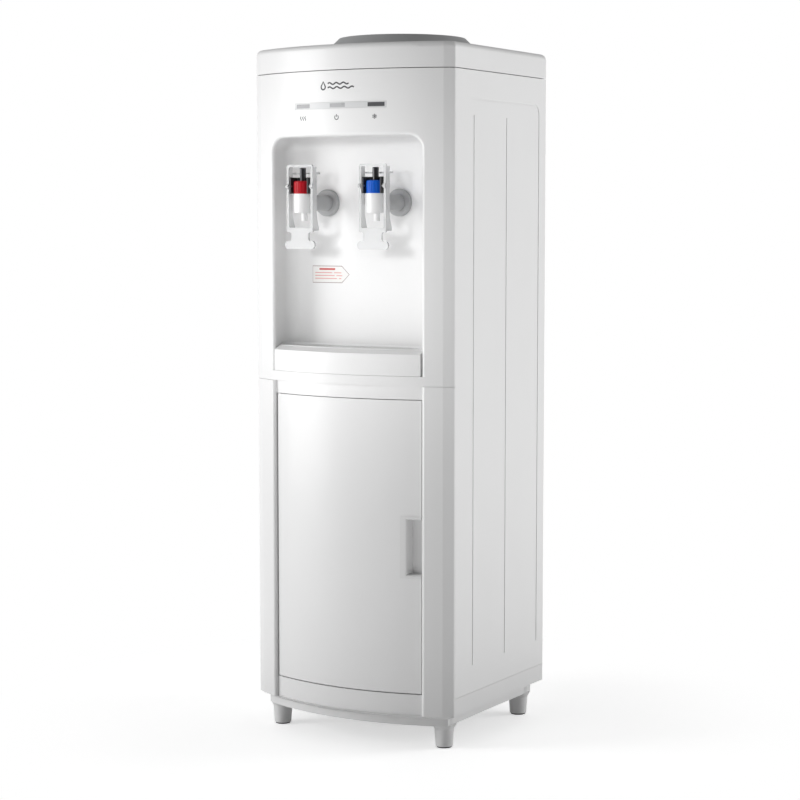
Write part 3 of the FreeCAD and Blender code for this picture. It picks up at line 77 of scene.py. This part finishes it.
def tinted(tree, value, color, amount):
    """A colour that drifts by amount round color."""
    ramp = tree.nodes.new("ShaderNodeValToRGB")
    ramp.color_ramp.elements[0].position = 0.3
    ramp.color_ramp.elements[1].position = 0.7
    ramp.color_ramp.elements[0].color = tuple(c * (1 - amount) for c in color) + (1,)
    ramp.color_ramp.elements[1].color = tuple(min(1, c * (1 + amount)) for c in color) + (1,)
    tree.links.new(value, ramp.inputs["Fac"])
    return ramp.outputs["Color"]


def surface(name, color, rough, grain=900.0, grain_depth=0.03, peel=120.0, peel_depth=0.02, drift=0.015,
            spread_rough=0.05, metal=0.0, coat=0.0, stretch=(1, 1, 1), seed=1.0, **sockets):
    """Moulded or coated stuff: slow colour drift, uneven gloss, a fine grain and a long soft peel."""
    material, tree, shader = new_material(name)
    shade = tinted(tree, noise(tree, 14.0, 4.0, stretch, seed), color, drift)
    tree.links.new(shade, shader.inputs["Base Color"])
    gloss = noise(tree, 45.0, 5.0, stretch, seed + 3)
    uneven = spread(tree, gloss, rough - spread_rough, rough + spread_rough)
    tree.links.new(uneven, shader.inputs["Roughness"])
    fine = tree.nodes.new("ShaderNodeBump")
    fine.inputs["Strength"].default_value = grain_depth
    fine.inputs["Distance"].default_value = 0.0004
    tree.links.new(noise(tree, grain, 2.0, stretch, seed + 5), fine.inputs["Height"])
    long = tree.nodes.new("ShaderNodeBump")
    long.inputs["Strength"].default_value = peel_depth
    long.inputs["Distance"].default_value = 0.002
    tree.links.new(noise(tree, peel, 1.0, stretch, seed + 8), long.inputs["Height"])
    tree.links.new(fine.outputs["Normal"], long.inputs["Normal"])
    tree.links.new(long.outputs["Normal"], shader.inputs["Normal"])
    shader.inputs["Metallic"].default_value = metal
    shader.inputs["Coat Weight"].default_value = coat
    for socket, value in sockets.items():
        shader.inputs[socket.replace("_", " ")].default_value = value
    return material


WHITE = (0.80, 0.80, 0.80)
looks = {
    "white_plastic": surface("white_plastic", WHITE, 0.34, grain_depth=0.02, peel=60, peel_depth=0.006,
                             drift=0.006, spread_rough=0.025, coat=0.06, seed=1),
    "grey_plastic": surface("grey_plastic", (0.42, 0.425, 0.43), 0.42, seed=2),
    "light_grey_plastic": surface("light_grey_plastic", (0.76, 0.76, 0.76), 0.42, drift=0.01, seed=3),
    "white_painted_steel": surface("white_painted_steel", (0.79, 0.79, 0.79), 0.40,
                                   grain=420, grain_depth=0.06, peel=30, peel_depth=0.01, drift=0.006,
                                   spread_rough=0.03, seed=4),
    "red_plastic": surface("red_plastic", (0.40, 0.004, 0.012), 0.36, seed=5, Specular_IOR_Level=0.3),
    "blue_plastic": surface("blue_plastic", (0.002, 0.09, 0.50), 0.36, seed=6, Specular_IOR_Level=0.3),
    "black_plastic": surface("black_plastic", (0.025, 0.025, 0.028), 0.38, seed=7),
    "clear_white_plastic": surface("clear_white_plastic", (0.93, 0.935, 0.94), 0.16, grain_depth=0.01, seed=8,
                                   Transmission_Weight=0.45, IOR=1.49),
    "smoked_plastic": surface("smoked_plastic", (0.64, 0.645, 0.65), 0.30, seed=9),
    "rubber": surface("rubber", (0.035, 0.035, 0.035), 0.78, grain=1500, grain_depth=0.2, seed=10),
    "silicone": surface("silicone", (0.66, 0.66, 0.64), 0.48, seed=11, Subsurface_Weight=0.15),
    "stainless": surface("stainless", (0.62, 0.62, 0.62), 0.28, metal=1.0, stretch=(1, 1, 14), seed=12),
    "dark_chrome": surface("dark_chrome", (0.085, 0.085, 0.09), 0.30, metal=1.0, stretch=(1, 1, 6), seed=13),
    "zinc_steel": surface("zinc_steel", (0.58, 0.58, 0.59), 0.40, metal=1.0, drift=0.12, seed=14),
    "aluminium": surface("aluminium", (0.70, 0.70, 0.71), 0.34, metal=1.0, stretch=(1, 1, 9), seed=15),
    "foam": surface("foam", (0.80, 0.77, 0.68), 0.85, grain=700, grain_depth=0.5, drift=0.05, seed=16),
    "circuit_board": surface("circuit_board", (0.02, 0.14, 0.05), 0.38, drift=0.2, seed=17),
    "ceramic": surface("ceramic", (0.78, 0.78, 0.76), 0.55, seed=18),
}
slot_of = {part["node"]: part["material_slot"] for part in frame["record"]["subparts"]}


def paint(obj, material):
    obj.data.materials.clear()
    obj.data.materials.append(material)


def soften(obj, width, angle=35.0, segments=2):
    """A small round on a node's sharp edges."""
    bevel = obj.modifiers.new("edge_round", "BEVEL")
    bevel.width = width * MM
    bevel.segments = segments
    bevel.limit_method = "ANGLE"
    bevel.angle_limit = math.radians(angle)
    bevel.harden_normals = True


for name, obj in nodes.items():
    paint(obj, looks[slot_of[name]])
soften(nodes["door_handle"], 0.8)


def lens_material():
    """Smoked lenses, the left and middle ones paler than the right one."""
    material = surface("lens", (0.2, 0.2, 0.2), 0.3, seed=19)
    tree = material.node_tree
    place = tree.nodes.new("ShaderNodeTexCoord")
    parts = tree.nodes.new("ShaderNodeSeparateXYZ")
    shade = tree.nodes.new("ShaderNodeMapRange")
    shade.inputs["From Min"].default_value = -0.075
    shade.inputs["From Max"].default_value = 0.075
    ramp = tree.nodes.new("ShaderNodeValToRGB")
    ramp.color_ramp.interpolation = "CONSTANT"
    ramp.color_ramp.elements[0].color = (0.30, 0.30, 0.31, 1)
    ramp.color_ramp.elements[1].position = 0.30
    ramp.color_ramp.elements[1].color = (0.42, 0.42, 0.43, 1)
    right = ramp.color_ramp.elements.new(0.70)
    right.color = (0.085, 0.085, 0.09, 1)
    tree.links.new(place.outputs["Object"], parts.inputs["Vector"])
    tree.links.new(parts.outputs["X"], shade.inputs["Value"])
    tree.links.new(shade.outputs["Result"], ramp.inputs["Fac"])
    tree.links.new(ramp.outputs["Color"], tree.nodes["Principled BSDF"].inputs["Base Color"])
    return material


paint(nodes["indicator_lenses"], lens_material())

# ---------------------------------------------------------------- printed marks
# millimetres: the bowed front, the niche's back wall, and how far a print stands proud
BOW_RADIUS = 349.1
BOW_CENTRE = -156.5 + BOW_RADIUS
NICHE_WALL = -88.5
FILM = 0.12


def on_bow(x, z, out):
    """A point on the bowed front, out millimetres proud of it."""
    return Vector((x, BOW_CENTRE - math.sqrt((BOW_RADIUS + out) ** 2 - x * x), z)) * MM


def on_niche(x, z, out):
    return Vector((x, NICHE_WALL - out, z)) * MM


def stroke(points, width, closed=False):
    """Quads along a line of (x, z) points, mitred at its corners."""
    count = len(points)
    sides = []
    for i, (x, z) in enumerate(points):
        before = points[i - 1] if i or closed else points[i]
        after = points[(i + 1) % count] if i + 1 < count or closed else points[i]
        run = Vector((after[0] - before[0], after[1] - before[1])).normalized() * (width / 2)
        sides.append(((x - run.y, z + run.x), (x + run.y, z - run.x)))
    steps = range(count if closed else count - 1)
    return [[sides[i][0], sides[i][1], sides[(i + 1) % count][1], sides[(i + 1) % count][0]] for i in steps]


def film(name, faces, onto, material, body="cabinet", thick=FILM, base=-0.03):
    """A thin closed print made of 2D faces laid onto a surface."""
    bm = bmesh.new()
    for face in faces:
        top = [bm.verts.new(onto(x, z, thick)) for x, z in face]
        low = [bm.verts.new(onto(x, z, base)) for x, z in face]
        bm.faces.new(top)
        bm.faces.new(low[::-1])
        for i in range(len(face)):
            j = (i + 1) % len(face)
            bm.faces.new((top[i], low[i], low[j], top[j]))
    bmesh.ops.recalc_face_normals(bm, faces=bm.faces)
    mesh = bpy.data.meshes.new(name)
    bm.to_mesh(mesh)
    bm.free()
    piece = bpy.data.objects.new(name, mesh)
    bpy.context.scene.collection.objects.link(piece)
    paint(piece, material)
    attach(piece, body)
    return piece


def arc(x, z, radius, start, end, steps=24):
    turn = [math.radians(start + (end - start) * i / steps) for i in range(steps + 1)]
    return [(x + radius * math.cos(a), z + radius * math.sin(a)) for a in turn]


def wave(x, z, length, height, turns, steps=10):
    total = int(turns * steps)
    return [(x + length * i / total, z + height / 2 * math.sin(math.tau * turns * i / total))
            for i in range(total + 1)]


def drop_outline(x, z, size):
    """A water drop: a round bottom drawn up to a point."""
    curve = arc(x, z, size, -215, 35, 20)
    return curve + [(x, z + size * 2.1)]


inks = {
    "ink": surface("ink", (0.055, 0.055, 0.06), 0.42, seed=21, drift=0.1),
    "icon_ink": surface("icon_ink", (0.16, 0.16, 0.165), 0.45, seed=22, drift=0.1),
    "sticker_paper": surface("sticker_paper", (0.80, 0.79, 0.78), 0.5, seed=23),
    "sticker_red": surface("sticker_red", (0.50, 0.07, 0.06), 0.5, seed=24, drift=0.1),
    "sticker_pink": surface("sticker_pink", (0.66, 0.34, 0.31), 0.5, seed=25, drift=0.1),
    "sticker_edge": surface("sticker_edge", (0.30, 0.22, 0.21), 0.5, seed=26, drift=0.1),
}

# a water drop and two waves stand where the real one has its mark
mark = stroke(drop_outline(-22.5, 897.6, 3.4), 1.9, closed=True)
for start, run, rise, turns in ((-15, 41, 896.4, 3.5), (-15, 33, 902.0, 3)):
    mark += stroke(wave(start, rise, run, 2.4, turns), 1.9)
film("front_mark", mark, on_bow, inks["ink"])

HEAT_X, POWER_X = -58, -1
COLD_X, COLD_Z = 56, 857
heat = []
for shift in (-4, 0, 4):
    heat += stroke([(HEAT_X + shift + 1.1 * math.sin(t * 0.9), 854.0 + t * 0.68) for t in range(9)], 1.3)
film("heat_icon", heat, on_bow, inks["icon_ink"])
power = stroke(arc(POWER_X, 856.8, 2.9, 125, 415), 1.2)
power += stroke([(POWER_X, 857.4), (POWER_X, 861)], 1.2)
film("power_icon", power, on_bow, inks["icon_ink"])
flake = []
for turn in range(3):
    angle = math.radians(30 + 60 * turn)
    dx, dz = 3.2 * math.cos(angle), 3.2 * math.sin(angle)
    flake += stroke([(COLD_X - dx, COLD_Z - dz), (COLD_X + dx, COLD_Z + dz)], 0.8)
    for end in (-1, 1):
        tip = (COLD_X + end * dx * 0.62, COLD_Z + end * dz * 0.62)
        for lean in (-50, 50):
            way = angle + math.radians(lean) + (math.pi if end < 0 else 0)
            flake += stroke([tip, (tip[0] + 1.2 * math.cos(way), tip[1] + 1.2 * math.sin(way))], 0.6)
film("cold_icon", flake, on_bow, inks["icon_ink"])

# the arrow sticker in the niche, with plain bars for its lines of text
LEFT, RIGHT, POINT, BOTTOM, TOP = -84, -36, -24, 632.5, 655.5
MIDDLE = (BOTTOM + TOP) / 2
arrow = [(LEFT, BOTTOM), (RIGHT, BOTTOM), (POINT, MIDDLE), (RIGHT, TOP), (LEFT, TOP)]
film("niche_sticker", [arrow], on_niche, inks["sticker_paper"], thick=0.10)
film("niche_sticker_outline", stroke(arrow, 0.9, closed=True), on_niche, inks["sticker_edge"],
     thick=0.16, base=0.08)
film("niche_sticker_heading", stroke([(LEFT + 11, TOP - 4.2), (RIGHT - 11, TOP - 4.2)], 2.6), on_niche,
     inks["sticker_red"], thick=0.16, base=0.08)
bars = []
for row in range(3):
    z = TOP - 9.2 - 4.0 * row
    bars += stroke([(LEFT + 4, z), (RIGHT - 16 + 4 * row, z)], 1.3)
    bars += stroke([(RIGHT - 13 + 4 * row, z), (RIGHT - 1 + 1.5 * (1 - abs(1 - row)), z)], 1.3)
film("niche_sticker_bars", bars, on_niche, inks["sticker_pink"], thick=0.16, base=0.08)

# ---------------------------------------------------------------- camera, lights, floor
camera = bpy.data.objects.new("camera", bpy.data.cameras.new("camera"))
bpy.context.scene.collection.objects.link(camera)
camera.location = (1.477, -2.4815, 0.719)
camera.rotation_euler = (math.radians(90 - 5.05), 0, math.radians(30.67))
camera.data.lens = 91.5
camera.data.sensor_width = 36
bpy.context.scene.camera = camera


def softbox(name, place, target, width, height, power, spread_angle=180):
    light = bpy.data.lights.new(name, "AREA")
    light.shape = "RECTANGLE"
    light.size = width
    light.size_y = height
    light.energy = power
    light.spread = math.radians(spread_angle)
    lamp = bpy.data.objects.new(name, light)
    lamp.location = place
    lamp.rotation_euler = (Vector(target) - Vector(place)).to_track_quat("-Z", "Y").to_euler()
    bpy.context.scene.collection.objects.link(lamp)
    return lamp


softbox("key", (-2.07, -1.74, 0.85), (0, 0, 0.5), 1.2, 2.0, 42)
softbox("back_right", (2.13, 1.66, 0.85), (0, 0, 0.5), 1.2, 2.0, 34)
fill = softbox("niche_fill", (0.05, -1.9, 0.95), (-0.03, -0.1, 0.67), 0.4, 0.4, 0.20, 15)
fill.visible_glossy = False

DARK_SIDE = math.radians(50)
AMBIENT_BRIGHT, AMBIENT_DARK = 0.38, 0.02
world = bpy.data.worlds.new("studio")
bpy.context.scene.world = world
world.use_nodes = True
sky = world.node_tree
backdrop = sky.nodes["Background"]
backdrop.inputs["Color"].default_value = (1, 1, 1, 1)
backdrop.inputs["Strength"].default_value = 1.0
ambient = sky.nodes.new("ShaderNodeBackground")
ambient.inputs["Color"].default_value = (1, 1, 1, 1)
# the studio is darker on one side, between the two softboxes
way = sky.nodes.new("ShaderNodeTexCoord")
facing = sky.nodes.new("ShaderNodeVectorMath")
facing.operation = "DOT_PRODUCT"
facing.inputs[1].default_value = (math.sin(DARK_SIDE), -math.cos(DARK_SIDE), 0)
fall = sky.nodes.new("ShaderNodeMapRange")
fall.interpolation_type = "SMOOTHSTEP"
fall.inputs["From Min"].default_value = 0.15
fall.inputs["From Max"].default_value = 0.95
fall.inputs["To Min"].default_value = AMBIENT_BRIGHT
fall.inputs["To Max"].default_value = AMBIENT_DARK
sky.links.new(way.outputs["Generated"], facing.inputs[0])
sky.links.new(facing.outputs["Value"], fall.inputs["Value"])
sky.links.new(fall.outputs["Result"], ambient.inputs["Strength"])
rays = sky.nodes.new("ShaderNodeLightPath")
mix = sky.nodes.new("ShaderNodeMixShader")
sky.links.new(rays.outputs["Is Camera Ray"], mix.inputs["Fac"])
sky.links.new(ambient.outputs["Background"], mix.inputs[1])
sky.links.new(backdrop.outputs["Background"], mix.inputs[2])
sky.links.new(mix.outputs["Shader"], sky.nodes["World Output"].inputs["Surface"])
bpy.context.scene.view_settings.view_transform = "Standard"


FLOOR_RADIUS, FLOOR_STEPS = 6, 96
FLOOR_LIFT = 0.49
FADE_START, FADE_END = 0.30, 0.62


def build_floor():
    """A pale disc that fades to the white backdrop away from the object."""
    mesh = bpy.data.meshes.new("floor")
    bm = bmesh.new()
    turns = [a * math.tau / FLOOR_STEPS for a in range(FLOOR_STEPS)]
    rim = [bm.verts.new((FLOOR_RADIUS * math.cos(a), FLOOR_RADIUS * math.sin(a), 0)) for a in turns]
    bm.faces.new(rim)
    bm.to_mesh(mesh)
    bm.free()
    floor = bpy.data.objects.new("floor", mesh)
    bpy.context.scene.collection.objects.link(floor)
    material, tree, shader = new_material("floor")
    shader.inputs["Roughness"].default_value = 0.7
    shader.inputs["Specular IOR Level"].default_value = 0.2
    tree.links.new(tinted(tree, noise(tree, 3.0), (0.90, 0.90, 0.90), 0.01), shader.inputs["Base Color"])
    glow = tree.nodes.new("ShaderNodeEmission")
    lift = tree.nodes.new("ShaderNodeMath")
    lift.operation = "MULTIPLY"
    lift.inputs[1].default_value = FLOOR_LIFT
    seen = tree.nodes.new("ShaderNodeLightPath")
    tree.links.new(seen.outputs["Is Camera Ray"], lift.inputs[0])
    tree.links.new(lift.outputs["Value"], glow.inputs["Strength"])
    near = tree.nodes.new("ShaderNodeAddShader")
    tree.links.new(shader.outputs["BSDF"], near.inputs[0])
    tree.links.new(glow.outputs["Emission"], near.inputs[1])
    far = tree.nodes.new("ShaderNodeEmission")
    place = tree.nodes.new("ShaderNodeTexCoord")
    reach = tree.nodes.new("ShaderNodeVectorMath")
    reach.operation = "LENGTH"
    tree.links.new(place.outputs["Object"], reach.inputs[0])
    fade = tree.nodes.new("ShaderNodeMapRange")
    fade.interpolation_type = "SMOOTHSTEP"
    fade.inputs["From Min"].default_value = FADE_START
    fade.inputs["From Max"].default_value = FADE_END
    tree.links.new(reach.outputs["Value"], fade.inputs["Value"])
    blend = tree.nodes.new("ShaderNodeMixShader")
    tree.links.new(fade.outputs["Result"], blend.inputs["Fac"])
    tree.links.new(near.outputs["Shader"], blend.inputs[1])
    tree.links.new(far.outputs["Emission"], blend.inputs[2])
    tree.links.new(blend.outputs["Shader"], tree.nodes["Material Output"].inputs["Surface"])
    paint(floor, material)
    return floor


build_floor()
